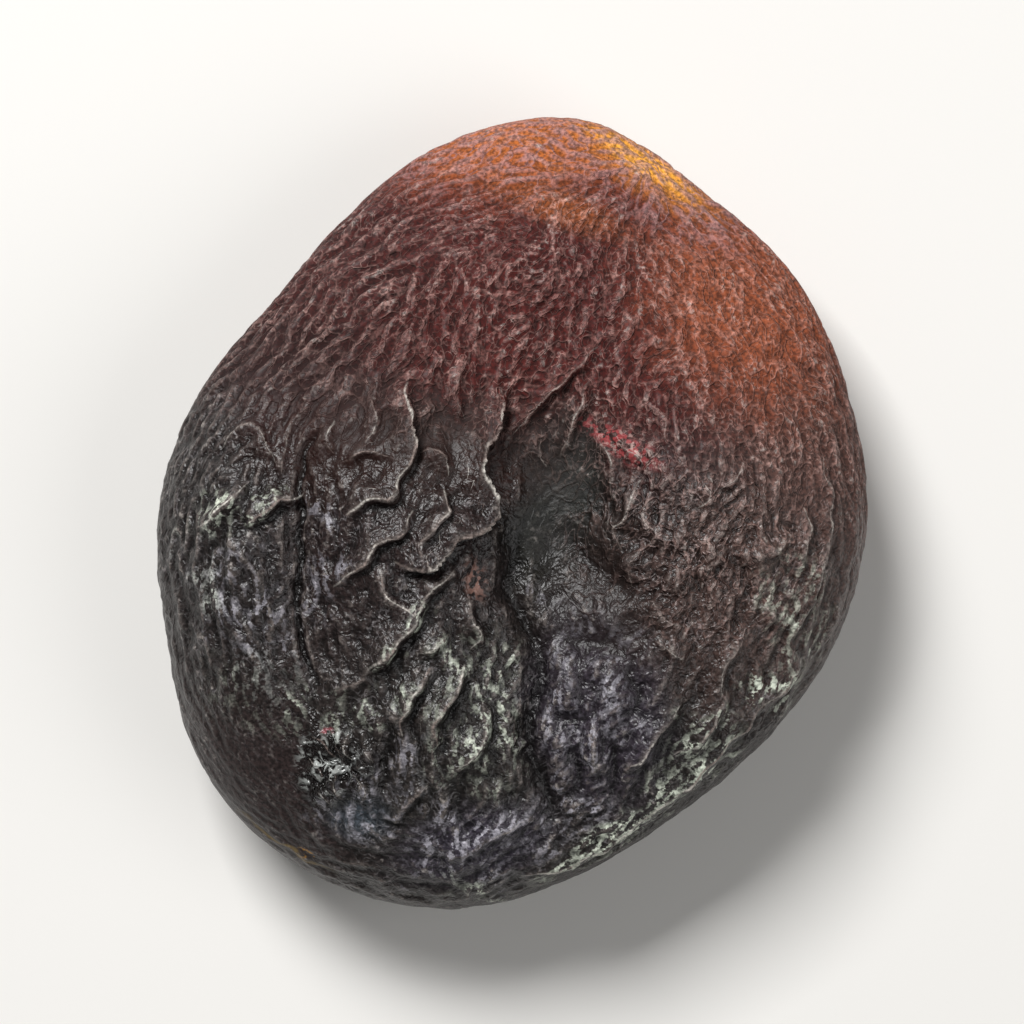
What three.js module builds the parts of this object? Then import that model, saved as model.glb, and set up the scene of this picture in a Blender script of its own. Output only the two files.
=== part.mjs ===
// A whole dried apricot with its stone pressed out, lying on its broad side.
// It is one natural solid: a flattened pouch of dried flesh, with a thick rolled rim, a collapsed
// middle where the stone was, swellings round it, and a small flat spot underneath that it rests on.
//
// Millimetres, +Z up. X runs across the fruit and Y along it. The origin is on the surface that the
// fruit rests on, under the middle of its box. The fine wrinkles of the skin aren't modelled here.

import * as THREE from "three";
import { mergeVertices } from "three/addons/utils/BufferGeometryUtils.js";

// ---- Driving dimensions ----------------------------------------------------------------------

const LENGTH = 41.0; // along Y, from the thick dark end to the thin amber end
const WIDTH = 36.6; // along X
const TOP_RISE = 7.2; // of the top over the widest line, before the swellings
const FOOT_BITE = 0.25; // how far the rounded belly would reach below the rest surface

// The outline from above: its radius every 20 degrees, anticlockwise from +X.
const OUTLINE_RADII = [
  18.3, 18.4, 19.0, 19.3, 20.7, 19.4, 17.4, 16.4, 17.3,
  18.2, 18.9, 20.7, 21.3, 20.8, 19.1, 17.7, 17.6, 18.0,
];

// The widest line wanders up and down: its height every 45 degrees, anticlockwise from +X.
const RIM_HEIGHTS = [6.2, 5.7, 5.2, 5.9, 6.7, 6.2, 5.7, 5.8];

// How square the pouch is in section: 2 is an ellipse, and more is flatter with a rounder rim.
const TOP_FULLNESS = { thickEnd: 3.1, thinEnd: 2.6 };
const BELLY_FULLNESS = 2.9;

// The amber end is the thin one: the top comes down by this share between these places on Y.
const THINNING = { share: 0.22, from: 2, to: 21 };

// Swellings and hollows of the top: where, how far they spread along X and Y, how turned, how high.
const TOP_SWELLINGS = [
  { at: [2.5, 0.0], spread: [3.8, 6.2], turn: 8, height: -2.5 }, // collapsed middle
  { at: [0.9, -10.0], spread: [1.6, 6.8], turn: 6, height: -1.1 }, // gully down to the thick end
  { at: [3.9, 6.8], spread: [1.6, 3.6], turn: 0, height: -0.7 }, // gully up from the middle
  { at: [-10.8, -2.7], spread: [1.5, 6.8], turn: 2, height: -1.4 }, // groove beside the long lobe
  { at: [-14.8, -3.6], spread: [2.9, 8.2], turn: 6, height: 1.1 }, // long lobe
  { at: [-6.0, -1.4], spread: [3.6, 6.4], turn: 0, height: 0.4 }, // folded cheek
  { at: [11.4, 0.5], spread: [4.5, 7.3], turn: 8, height: 0.6 }, // smooth cheek
  { at: [7.6, -10.3], spread: [4.0, 4.0], turn: 0, height: 0.8 }, // pad by the thick end
  { at: [-4.5, -12.3], spread: [3.3, 3.8], turn: 0, height: 0.6 }, // second pad
  { at: [-1.4, 10.9], spread: [7.3, 4.1], turn: 0, height: 0.5 }, // shoulder of the amber end
];

// Swellings and hollows of the belly, seen from above: a height above zero lifts the belly.
const BELLY_SWELLINGS = [
  { at: [-1.4, 14.5], spread: [6.3, 4.1], turn: 0, height: 1.0 }, // under the thin end
  { at: [-12.4, -8.6], spread: [2.2, 6.4], turn: 35, height: 1.3 }, // long closed fold
  { at: [12.6, -5.4], spread: [2.2, 5.9], turn: -20, height: 1.1 }, // tuck under the smooth cheek
  { at: [9.3, 10.4], spread: [2.2, 5.0], turn: 42, height: 0.9 }, // tuck under the shoulder
];

// The mesh: squares across the top and belly, rows up the rim, and the share of the height at
// which each gives way to the other.
const SQUARES_ACROSS = 21;
const RIM_ROWS = 8;
const TOP_PATCH_LEVEL = 0.8;
const BELLY_PATCH_LEVEL = -0.45;

const SMALLEST_MM = 1e-3;

// ---- Shape -----------------------------------------------------------------------------------

// The value at an angle, on a smooth closed curve through values that are evenly spaced round it.
function roundTheFruit(values, angle) {
  const count = values.length;
  const place = ((angle / (2 * Math.PI)) * count + count) % count;
  const index = Math.floor(place);
  const t = place - index;
  const [before, here, next, after] = [-1, 0, 1, 2].map(
    (step) => values[(index + step + count) % count],
  );
  const slopeHere = (next - before) / 2;
  const slopeNext = (after - here) / 2;
  return (
    here * (2 * t ** 3 - 3 * t ** 2 + 1) +
    slopeHere * (t ** 3 - 2 * t ** 2 + t) +
    next * (3 * t ** 2 - 2 * t ** 3) +
    slopeNext * (t ** 3 - t ** 2)
  );
}

// The height that a list of swellings adds at a place.
function swell(swellings, x, y) {
  let height = 0;
  for (const { at, spread, turn, height: peak } of swellings) {
    const angle = THREE.MathUtils.degToRad(turn);
    const dx = x - at[0];
    const dy = y - at[1];
    const across = (dx * Math.cos(angle) + dy * Math.sin(angle)) / spread[0];
    const along = (dy * Math.cos(angle) - dx * Math.sin(angle)) / spread[1];
    height += peak * Math.exp(-(across ** 2) - along ** 2);
  }
  return height;
}

// How full the pouch is over a place: 1 in the middle, 0 at the outline.
function fullness(share, power) {
  return Math.sqrt(Math.max(0, 1 - share ** power));
}

// Moves a point of the unit sphere to its place on the fruit.
function placeOnFruit(point) {
  const share = Math.hypot(point.x, point.y);
  const angle = Math.atan2(point.y, point.x);
  const radius = roundTheFruit(OUTLINE_RADII, angle);
  const rim = roundTheFruit(RIM_HEIGHTS, angle);
  const x = radius * point.x;
  const y = radius * point.y;
  if (point.z >= 0) {
    const thinness = THREE.MathUtils.smoothstep(y, THINNING.from, THINNING.to);
    const power = THREE.MathUtils.lerp(TOP_FULLNESS.thickEnd, TOP_FULLNESS.thinEnd, thinness);
    const rise = (TOP_RISE + swell(TOP_SWELLINGS, x, y)) * (1 - THINNING.share * thinness);
    return point.set(x, y, rim + rise * fullness(share, power));
  }
  const drop = rim + FOOT_BITE - swell(BELLY_SWELLINGS, x, y);
  const z = rim - drop * fullness(share, BELLY_FULLNESS);
  return point.set(x, y, Math.max(z, 0));
}

// ---- Mesh ------------------------------------------------------------------------------------

// A box wrapped onto the unit sphere: its squares stay even, with no poles.
function wrappedBox() {
  const box = new THREE.BoxGeometry(
    2, 2, TOP_PATCH_LEVEL - BELLY_PATCH_LEVEL,
    SQUARES_ACROSS, SQUARES_ACROSS, RIM_ROWS,
  );
  box.translate(0, 0, (TOP_PATCH_LEVEL + BELLY_PATCH_LEVEL) / 2);
  box.deleteAttribute("normal");
  box.deleteAttribute("uv");
  return mergeVertices(box, SMALLEST_MM);
}

// Scales and moves the fruit so that its box has the driving length and width, centred on the
// origin, with its foot at zero.
function fitToBox(geometry) {
  geometry.computeBoundingBox();
  const size = geometry.boundingBox.getSize(new THREE.Vector3());
  const centre = geometry.boundingBox.getCenter(new THREE.Vector3());
  geometry.translate(-centre.x, -centre.y, -geometry.boundingBox.min.z);
  geometry.scale(WIDTH / size.x, LENGTH / size.y, 1);
}

function fruitGeometry() {
  const geometry = wrappedBox();
  const position = geometry.getAttribute("position");
  const point = new THREE.Vector3();
  const evenOut = Math.PI / 4; // turns even steps on the box's faces into even angles
  for (let i = 0; i < position.count; i++) {
    point.fromBufferAttribute(position, i);
    point.set(Math.tan(point.x * evenOut), Math.tan(point.y * evenOut), point.z).normalize();
    placeOnFruit(point);
    position.setXYZ(i, point.x, point.y, point.z);
  }
  fitToBox(geometry);
  geometry.computeVertexNormals();
  return geometry;
}

// ---- The fruit -------------------------------------------------------------------------------

const driedSkin = new THREE.MeshStandardMaterial({
  color: new THREE.Color(0.1, 0.055, 0.045),
  roughness: 0.5,
  metalness: 0,
});

const apricot = new THREE.Mesh(fruitGeometry(), driedSkin);
apricot.name = "apricot";

const driedApricot = new THREE.Group();
driedApricot.add(apricot);

export default driedApricot;
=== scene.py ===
"""A whole sun-dried apricot, lying on its broad side on a pale table under soft studio light.

The skin is one closed surface. A coarse grid of squares is wrapped round the frame's plain solid and
is made finer twice. At each size, wrinkles grow on it by themselves along the fruit's meridians, and
listed folds join them on the collapsed top. Lengths in the relief, the paths and the patches
are millimetres. Blender's own are metres.
"""

from collections import namedtuple

import bmesh
import bpy
import numpy as np
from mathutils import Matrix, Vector


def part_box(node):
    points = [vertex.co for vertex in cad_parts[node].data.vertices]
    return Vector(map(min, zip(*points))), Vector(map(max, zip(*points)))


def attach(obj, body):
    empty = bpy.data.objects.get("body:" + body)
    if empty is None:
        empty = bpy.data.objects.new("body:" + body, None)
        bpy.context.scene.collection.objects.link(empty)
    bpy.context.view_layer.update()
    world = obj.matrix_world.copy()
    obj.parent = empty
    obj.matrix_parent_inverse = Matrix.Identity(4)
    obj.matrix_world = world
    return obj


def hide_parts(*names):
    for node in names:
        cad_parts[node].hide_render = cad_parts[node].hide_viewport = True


MM = 0.001

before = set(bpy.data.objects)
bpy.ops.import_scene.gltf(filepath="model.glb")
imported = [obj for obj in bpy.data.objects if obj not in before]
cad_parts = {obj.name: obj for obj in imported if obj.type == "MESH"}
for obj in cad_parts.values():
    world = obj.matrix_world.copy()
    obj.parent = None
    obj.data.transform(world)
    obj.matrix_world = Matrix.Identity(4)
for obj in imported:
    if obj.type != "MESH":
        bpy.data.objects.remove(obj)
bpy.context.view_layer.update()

# ---- Driving values ---------------------------------------------------------------------------

# The coarse grid that becomes the skin: squares across the top and belly, rows round the rim, and
# how high on the wrapped box the rim's rows begin and end. It is made finer twice.
SQUARES_ACROSS = 42
RIM_ROWS = 16
ROWS_FROM = -0.5
ROWS_TO = 1.1
HEART_HEIGHT = 6.2  # of the point inside the fruit that the grid is wrapped round
EVENING_ROUNDS = 150  # until the grid's squares are even
TOP_CROWDING = 0.6  # how much more the squares crowd on the top than on the belly

# The two ends that the wrinkles run between, from above.
THIN_END = (7.0, 18.2)
THICK_END = (-2.0, -20.9)
END_SOFTNESS = 4  # in square millimetres, which keeps an end's pull finite at the end itself

# Crests on the collapsed top, one by one: the height, how far the gentle and the steep slope reach,
# how far the crest leans over the steep one, and its path from above. The steep slope is on the left
# hand of somebody who walks along the path.
CRESTS = [
    # the long folds to the left of the hollow
    (0.85, 1.7, 0.50, 0.40, [(0.0, 6.3), (-0.1, 5.2), (-0.7, 3.9), (-1.2, 3.1), (-1.25, 2.1),
        (-0.9, 1.2), (-0.6, 0.1), (-0.8, -0.6), (-1.4, -1.0), (-2.3, -1.3), (-2.8, -1.6), (-3.0, -2.1),
        (-3.7, -2.7), (-4.4, -3.1), (-5.2, -3.2), (-6.0, -3.1)]),
    (0.65, 1.6, 0.48, 0.35, [(-4.9, 6.7), (-5.25, 5.8), (-4.9, 4.9), (-4.85, 3.8), (-4.95, 2.9),
        (-5.3, 2.0), (-5.75, 1.2), (-5.9, 0.7), (-6.5, 0.6), (-7.3, 0.4), (-7.9, -0.1), (-8.5, -0.6)]),
    (0.35, 0.9, 0.40, 0.15, [(-4.6, 3.2), (-3.9, 3.1), (-3.3, 2.8), (-3.0, 2.0)]),
    (0.40, 0.9, 0.36, 0.15, [(-3.1, 1.4), (-3.2, 0.6), (-3.25, -0.1), (-3.7, -0.8), (-4.2, -1.3),
        (-4.6, -1.7), (-4.5, -2.4)]),
    (0.42, 1.2, 0.42, 0.25, [(-4.8, 0.1), (-5.1, -0.7), (-5.6, -1.2), (-6.3, -1.7), (-6.9, -1.9),
        (-7.1, -2.6), (-7.7, -3.1), (-8.4, -3.5), (-9.0, -4.0)]),
    (0.28, 0.9, 0.36, 0.10, [(-6.1, 2.5), (-6.7, 2.95), (-7.7, 2.95), (-8.5, 2.5)]),
    (0.30, 0.8, 0.36, 0.10, [(-6.9, 5.7), (-6.9, 4.2), (-7.3, 3.5)]),
    (0.25, 0.7, 0.36, 0.05, [(-9.0, 4.6), (-9.3, 3.6), (-9.0, 2.9)]),
    (0.40, 1.0, 0.40, 0.10, [(-6.6, -2.6), (-6.4, -3.9), (-5.5, -4.7), (-4.6, -5.2)]),
    (0.40, 0.9, 0.50, 0.05, [(-2.7, -3.0), (-3.6, -3.5), (-4.2, -4.2), (-4.7, -5.1)]),
    (0.75, 1.4, 0.60, 0.25, [(-4.0, -4.7), (-5.1, -6.0), (-5.8, -6.7), (-6.4, -7.5), (-7.3, -8.5)]),
    (0.22, 0.9, 0.50, 0.05, [(-6.8, -8.1), (-8.0, -8.7), (-9.4, -9.1)]),
    (0.30, 0.8, 0.40, 0.10, [(-3.1, -6.3), (-3.9, -7.0), (-4.7, -7.3)]),
    (0.35, 0.9, 0.40, 0.10, [(-1.9, -4.1), (-2.0, -5.2), (-1.6, -6.2), (-1.9, -7.0)]),
    (0.50, 1.1, 0.45, 0.15, [(-3.9, -7.9), (-4.6, -8.9), (-5.2, -9.8), (-5.5, -10.6), (-5.3, -11.4)]),
    (0.65, 1.2, 0.55, 0.20, [(-2.0, -7.6), (-2.7, -9.1), (-3.3, -10.0), (-3.9, -10.9), (-3.4, -12.0)]),
    (0.35, 1.0, 0.45, 0.10, [(-1.0, -10.2), (-1.4, -11.6), (-2.2, -12.6), (-3.3, -13.4)]),
    # where the amber end's wrinkles gather at the collapsed middle
    (0.28, 0.8, 0.36, 0.10, [(4.4, 8.4), (3.3, 7.4), (2.3, 6.5), (1.6, 5.6), (0.8, 4.5), (0.1, 3.8)]),
    (0.22, 0.7, 0.34, 0.05, [(1.5, 4.2), (1.4, 3.2), (1.8, 2.4)]),
    (0.42, 0.9, 0.45, 0.15, [(4.2, 6.6), (3.4, 5.2), (3.0, 4.2), (2.6, 2.8)]),
    (0.30, 0.9, 0.40, 0.05, [(4.2, 4.1), (4.8, 3.0), (5.1, 1.7), (4.9, 0.6)]),
    (0.22, 0.7, 0.34, 0.05, [(-2.0, 8.2), (-2.6, 6.9), (-2.7, 5.6), (-2.2, 4.6)]),
    (0.15, 0.6, 0.30, 0.05, [(7.5, 7.0), (7.0, 5.8), (7.6, 4.6), (7.9, 3.4)]),
    # the torn knobs
    (0.22, 0.35, 0.26, 0.05, [(5.0, 4.0), (5.6, 3.5), (6.1, 3.4)]),
    (0.22, 0.35, 0.26, 0.05, [(5.5, 3.2), (6.2, 2.9), (6.5, 2.5)]),
    (0.22, 0.35, 0.26, 0.05, [(6.4, 3.3), (7.0, 2.9), (7.2, 2.4)]),
    # the curly cheek to its right
    (0.36, 1.0, 0.42, 0.10, [(6.7, 1.8), (6.0, 0.7), (5.7, -0.3), (5.2, -1.0), (5.5, -2.0)]),
    (0.20, 0.6, 0.32, 0.05, [(6.8, 0.9), (6.7, 0.0), (7.2, -0.9), (8.2, -1.2), (9.3, -0.8)]),
    (0.18, 0.5, 0.30, 0.05, [(8.2, 2.2), (7.9, 1.6), (7.2, 0.9)]),
    (0.18, 0.5, 0.30, 0.05, [(9.6, 1.5), (9.9, 0.6), (9.2, 0.1)]),
    (0.18, 0.5, 0.30, 0.05, [(11.8, 2.5), (11.1, 1.6), (10.5, 1.0)]),
    (0.18, 0.5, 0.30, 0.05, [(9.0, -3.3), (8.3, -3.6), (8.6, -4.2)]),
    (0.18, 0.5, 0.30, 0.05, [(14.3, -5.2), (15.0, -4.3), (15.6, -4.9)]),
    (0.18, 0.5, 0.30, 0.05, [(12.5, -4.6), (13.2, -5.3), (12.9, -6.2)]),
    (0.24, 0.7, 0.36, 0.05, [(6.6, -1.8), (6.0, -2.8), (5.9, -3.7)]),
    (0.26, 0.7, 0.36, 0.05, [(7.0, -4.4), (7.6, -5.3), (8.8, -5.8)]),
    (0.26, 0.7, 0.36, 0.05, [(14.4, -1.2), (13.5, -1.9), (12.6, -2.2), (11.7, -2.9)]),
    (0.20, 0.6, 0.34, 0.05, [(12.2, -1.6), (12.5, -2.4), (13.1, -3.0)]),
    (0.24, 0.8, 0.36, 0.05, [(9.8, -1.2), (10.2, -2.4), (9.7, -3.4)]),
    (0.26, 0.9, 0.40, 0.05, [(12.2, -6.1), (11.2, -7.2), (10.6, -8.4), (10.7, -9.6)]),
    (0.24, 0.8, 0.36, 0.05, [(8.8, -7.4), (8.0, -7.0), (6.8, -6.4)]),
    (0.32, 1.0, 0.45, 0.05, [(9.1, -9.6), (7.8, -10.7), (6.9, -12.1), (5.9, -13.1), (5.7, -14.2)]),
    (0.35, 1.0, 0.50, 0.10, [(11.0, -9.2), (10.4, -10.2), (9.5, -11.5), (8.4, -12.7)]),
    (0.30, 0.8, 0.40, 0.05, [(15.9, 3.0), (16.2, 0.6), (16.0, -1.8), (15.4, -4.2), (14.3, -6.4)]),
    (0.25, 0.7, 0.36, 0.05, [(15.0, 0.4), (15.0, -1.6), (14.6, -3.4)]),
    # the pads of the thick end
    (0.28, 0.8, 0.40, 0.05, [(4.5, -10.9), (4.1, -12.2), (4.3, -13.4)]),
    (0.30, 0.9, 0.45, 0.05, [(1.2, -15.4), (-0.4, -16.2), (-2.2, -17.3), (-3.4, -18.0)]),
    (0.26, 0.8, 0.40, 0.05, [(-4.2, -13.9), (-5.4, -14.9), (-6.0, -16.0)]),
    # the folded-over rim of the thick end
    (0.55, 2.6, 0.90, 0.15, [(15.3, -7.7), (14.2, -8.7), (12.6, -10.1), (11.1, -11.8), (9.4, -13.6),
        (7.7, -15.0), (5.4, -16.7), (2.7, -18.2), (0.5, -19.0)]),
    # the shoulder of the long lobe
    (0.52, 1.0, 0.50, 0.10, [(-10.6, 0.8), (-11.6, 0.5), (-12.5, 0.0), (-13.4, -0.6)]),
    (0.40, 0.9, 0.45, 0.05, [(-13.2, 1.6), (-13.9, 0.9), (-14.4, 0.2), (-15.2, -0.5), (-16.1, -0.9)]),
    (0.22, 0.6, 0.34, 0.05, [(-11.1, 4.5), (-11.5, 3.0), (-11.6, 1.9)]),
    (0.22, 0.6, 0.34, 0.05, [(-14.9, 3.4), (-13.9, 4.4), (-12.9, 4.2), (-12.2, 3.2), (-11.8, 2.2)]),
    # the crumples of the black spot
    (0.30, 0.5, 0.30, 0.05, [(-10.2, -11.3), (-9.4, -11.7), (-8.9, -12.4)]),
    (0.30, 0.5, 0.30, 0.05, [(-8.3, -11.2), (-8.5, -12.1), (-8.0, -12.8)]),
    (0.30, 0.5, 0.30, 0.05, [(-10.4, -12.5), (-9.8, -13.0), (-9.7, -13.8)]),
    (0.30, 0.5, 0.30, 0.05, [(-8.9, -13.0), (-9.0, -13.9), (-8.5, -14.6)]),
    (0.30, 0.5, 0.30, 0.05, [(-7.9, -13.4), (-7.4, -14.2), (-7.6, -15.0)]),
    (0.25, 0.5, 0.30, 0.05, [(-9.9, -14.3), (-9.2, -14.9)]),
    (0.25, 0.5, 0.30, 0.05, [(-7.5, -11.9), (-7.0, -12.7)]),
]

# Creases, one by one: how deep, how wide, and the path.
CREASES = [
    # beside the long lobe
    (0.30, 0.17, [(-9.5, 4.4), (-10.4, 2.8), (-10.7, 0.0), (-10.6, -1.8), (-10.8, -3.9), (-10.7, -6.2),
        (-10.2, -7.9), (-9.3, -9.1)]),
    # from the collapsed middle down to the thick end
    (0.42, 0.55, [(-0.3, -0.6), (0.0, -2.6), (-0.2, -4.0), (0.5, -5.5), (1.2, -6.7), (1.5, -8.2),
        (1.2, -9.7), (0.9, -11.2), (1.4, -13.2), (2.1, -14.9), (2.3, -16.0)]),
    (0.22, 0.60, [(2.8, -0.6), (3.4, -1.9), (4.7, -3.2), (6.2, -4.4)]),
    # across and down the pads
    (0.32, 0.60, [(1.9, -6.0), (2.9, -6.6), (4.3, -6.7), (6.0, -7.4)]),
    (0.20, 0.45, [(5.6, -7.6), (6.3, -9.0), (6.2, -10.6)]),
    (0.20, 0.45, [(1.9, -10.0), (2.8, -10.5), (4.1, -10.4)]),
    (0.22, 0.45, [(5.0, -11.2), (5.3, -13.2), (4.9, -14.5)]),
    (0.20, 0.45, [(3.0, -11.6), (3.4, -12.8), (3.2, -14.8)]),
    (0.25, 0.45, [(-2.2, -12.9), (-2.7, -14.4), (-2.2, -16.4)]),
    (0.30, 0.40, [(-5.8, -10.6), (-6.3, -12.2), (-6.6, -14.2)]),
]

# How strong each size of wrinkle is, by area of the top: where, how far the area spreads along X and
# Y, and by how much it changes the strength there.
BROAD_AREAS = [
    ((-5.0, -1.0), (5.5, 8.0), 0.3),
    ((8.5, -4.0), (6.5, 7.5), 0.6),
    ((0.5, -12.0), (7.0, 5.0), 0.6),
    ((-15.0, 0.0), (3.0, 5.0), 0.4),
    ((2.6, 0.5), (2.6, 4.2), -0.9),
    ((-13.0, -13.0), (4.0, 5.0), -0.8),
]
MIDDLE_AREAS = [
    ((-2.0, 8.0), (13.0, 6.0), 1.1),
    ((-14.0, 2.0), (4.0, 6.0), 0.5),
    ((-5.0, -1.5), (4.5, 6.0), -0.6),
    ((2.6, 0.5), (2.6, 4.2), -0.9),
    ((-13.0, -13.0), (4.0, 5.0), -0.8),
    ((13.0, 5.0), (4.0, 7.0), -0.4),
    ((9.5, -3.0), (5.0, 5.0), 0.5),
]
FINE_AREAS = [
    ((-1.0, 11.0), (14.0, 8.0), 0.8),
    ((13.0, 7.0), (5.0, 7.0), -0.4),
    ((9.5, -2.0), (5.5, 5.0), 0.8),
    ((-5.0, -1.5), (4.5, 6.0), -0.5),
    ((2.6, 0.5), (2.6, 4.2), -0.9),
    ((-13.0, -13.0), (4.0, 5.0), -0.7),
]

# How strictly the wrinkles run along the meridians, in the same way.
STRICT_AREAS = [
    ((1.0, 11.0), (4.5, 3.5), -0.7),
    ((12.0, 7.0), (5.0, 6.0), -0.4),
    ((4.0, -11.0), (6.0, 5.0), -0.6),
]

# The sizes of wrinkle: how far apart they settle, how strictly they run along the meridians, how
# narrow the bias makes their crests, how much they follow the listed folds, how many rounds they
# grow, how high they stand, how uneven that is and where it changes.
Wrinkles = namedtuple(
    "Wrinkles", "spacing strictness bias follow rounds height unevenness areas seed height_seed"
)
BROAD = Wrinkles(
    spacing=2.5, strictness=0.4, bias=0.3, follow=0.8, rounds=300,
    height=0.20, unevenness=0.3, areas=BROAD_AREAS, seed=7, height_seed=31,
)
MIDDLE = Wrinkles(
    spacing=1.25, strictness=0.5, bias=0.2, follow=0.5, rounds=300,
    height=0.14, unevenness=0.35, areas=MIDDLE_AREAS, seed=4, height_seed=32,
)
FINE = Wrinkles(
    spacing=0.68, strictness=0.5, bias=0.25, follow=0.2, rounds=250,
    height=0.09, unevenness=0.3, areas=FINE_AREAS, seed=3, height_seed=33,
)
LEVEL = 0.35  # of a wrinkle's height, which stays where the skin was
SPACING_VARIES = 0.15  # either way, in patches of ...
SPACING_PATCHES = 5  # ... so many spacings
HEIGHT_PATCHES = 3  # the size of the patches in which the wrinkles' height is uneven
STEEP_RIM = 0.35  # the normal's Z within which the skin is on the steep rim, ...
RIM_CALMS = 0.5  # ... where the wrinkles are lower by this share

# Where the folds and the areas of the top begin and are full, and where the bloom with its painted glints
# and sheen does: how far upwards the skin faces, as its normal's Z. Then the same for the wrinkles above
# the flat foot, as a height.
TOP_FACES = (0.0, 0.25)
BLOOM_GLINT_FACES = (0.15, 0.65)
ABOVE_FOOT = (0.05, 0.6)

# Soft unevenness: the size of its patches, how strong it is, and the first of its seeds.
Unevenness = namedtuple("Unevenness", "size amount seed")
FOLDS_WANDER = Unevenness(0.7, 0.09, 21)
WRINKLES_STRAY = Unevenness(1.8, 0.45, 23)
CREST_HEIGHTS = Unevenness(1.3, 0.25, 24)
RAGGED_EDGES = (Unevenness(1.6, 0.6, 40), Unevenness(0.6, 0.3, 50))

# A yellowish seam along the rim of the thick end, and how wide it is.
SEAM = [(-14.2, -15.1), (-12.6, -16.4), (-10.7, -17.6), (-8.8, -18.6)]
SEAM_WIDTH = 0.12
# How wide the line of painted shadow down a crease is.
CREASE_SHADOW_WIDTH = 0.16
END_FADE = 2.0  # how far from its ends a fold is full, ...
SHORT_END_FADE = 0.4  # ... or this share of its length, if that is less
LINE_REACH = 0.5  # how far from its path a line's values are kept
LINE_FADE = 0.2  # how far before that they fade out
TROUGH_DEPTH = 0.3  # at the foot of a crest's steep slope, in parts of the crest's height
CREST_PULL = 0.7  # how far from a crest the wrinkles gather on it
GATHERING_HEIGHT = 0.3  # of a crest that gathers them fully
HIGHLIGHT_HEIGHT = 0.6  # of a crest whose own line, of wear and painted highlight, is brightest
THINNEST_LINE = 0.03  # the width of a low crest's own line, ...
LINE_WIDENS = 0.08  # ... and what each millimetre of the crest's height adds to it
LIP_HEIGHT = 0.2  # of a crease's two lips, in parts of its depth

# How much of the skin round a vertex it is compared with, closely and broadly, to find where its wear,
# painted shade and painted highlights go.
CLOSE_ROUND = 0.35
BROADLY_ROUND = 1.1

# Patches of the skin: where the middle is, how far it spreads, how it is turned, its amount, and how
# soft its edge is. These carry a pale greenish bloom, with painted glints in it.
BLOOM_AND_GLINTS = [
    ((-1.7, -10.4, 12.0), (2.3, 3.4, 4.0), -10, 0.9, 0.5),
    ((9.5, -12.6, 10.0), (2.4, 1.7, 4.0), 38, 1.5, 0.5),
    ((13.1, -8.6, 9.0), (1.4, 1.0, 3.0), 40, 2.6, 0.5),
    ((5.4, -16.6, 8.0), (4.6, 1.1, 5.0), 35, 1.8, 0.5),
    ((-2.0, -19.2, 7.0), (1.8, 0.6, 4.0), -8, 1.4, 0.5),
    ((-5.7, -6.8, 12.5), (2.1, 0.6, 3.0), 50, 1.6, 0.4),
    ((-4.7, -8.9, 12.0), (1.2, 0.4, 3.0), 55, 0.9, 0.5),
    ((14.2, -4.8, 8.0), (2.0, 3.4, 5.0), 20, 0.8, 0.5),
    ((-13.8, 0.1, 10.0), (2.4, 1.0, 4.0), 22, 1.8, 0.5),
    ((-15.2, -3.4, 9.0), (1.0, 1.6, 4.0), 10, 0.9, 0.5),
    ((-13.2, -9.0, 8.5), (1.8, 2.0, 5.0), 20, 0.35, 0.5),
    ((-10.9, -9.8, 9.5), (1.0, 1.4, 4.0), 0, 0.6, 0.5),
    ((-7.9, -10.3, 10.0), (1.5, 0.6, 4.0), -45, 1.0, 0.5),
]
# And these a bluish grey bloom, which is partly a painted sheen.
GREY_BLOOM_AND_SHEEN = [
    ((-9.7, 0.4, 11.0), (1.0, 0.7, 3.0), 0, 1.4, 0.5),
    ((-13.6, -4.6, 10.0), (2.0, 4.0, 4.0), 25, 0.8, 0.5),
    ((-1.9, -16.7, 8.0), (3.8, 1.8, 5.0), 12, 1.7, 0.5),
    ((-7.8, -15.3, 10.0), (1.7, 1.4, 4.0), 0, 1.4, 0.5),
    ((1.4, -4.3, 11.0), (1.0, 0.6, 3.0), -10, 0.7, 0.5),
    ((3.6, -4.8, 12.0), (2.6, 0.8, 3.0), -14, 0.25, 0.5),
    ((-9.0, -3.0, 11.0), (1.3, 1.9, 4.0), 0, 0.8, 0.5),
    ((-5.8, -12.6, 11.0), (1.6, 1.6, 4.0), 0, 0.6, 0.5),
    ((-5.4, -15.0, 10.0), (1.7, 1.1, 4.0), 0, 0.8, 0.5),
    ((3.0, -14.8, 9.5), (1.6, 1.3, 4.0), 0, 0.8, 0.5),
    ((4.4, -9.6, 12.0), (2.6, 3.6, 3.0), 6, 0.8, 0.5),
]
# Here the skin is smooth.
SMOOTH = [
    ((-12.7, -14.8, 6.0), (3.4, 4.6, 9.0), 28, 0.75, 0.4),
    ((2.4, 1.0, 10.0), (2.5, 3.6, 4.0), 0, 0.75, 0.4),
    ((-6.0, 3.6, 11.0), (5.5, 2.2, 5.0), 0, 0.4, 0.5),
    ((5.0, -4.8, 11.0), (2.4, 2.8, 4.0), 0, 0.4, 0.5),
]
# Here it is covered in fine pale curls.
CURLY = [
    ((9.8, -1.0, 10.0), (6.0, 5.5, 6.0), -20, 1.0, 0.4),
]
# Here it is thin, so the painted shade in its hollows is weaker, as painted light from the flesh glowing
# through.
AMBER = [
    ((0.5, 20.8, 6.0), (8.5, 4.5, 7.0), -4, 1.0, 0.5),
    ((8.0, 17.5, 7.0), (6.0, 3.0, 5.0), -35, 1.0, 0.5),
]
# Here it is black and glossy.
BLACK = [
    ((-8.8, -12.9, 10.0), (1.7, 2.3, 4.0), 10, 1.0, 0.4),
]
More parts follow.
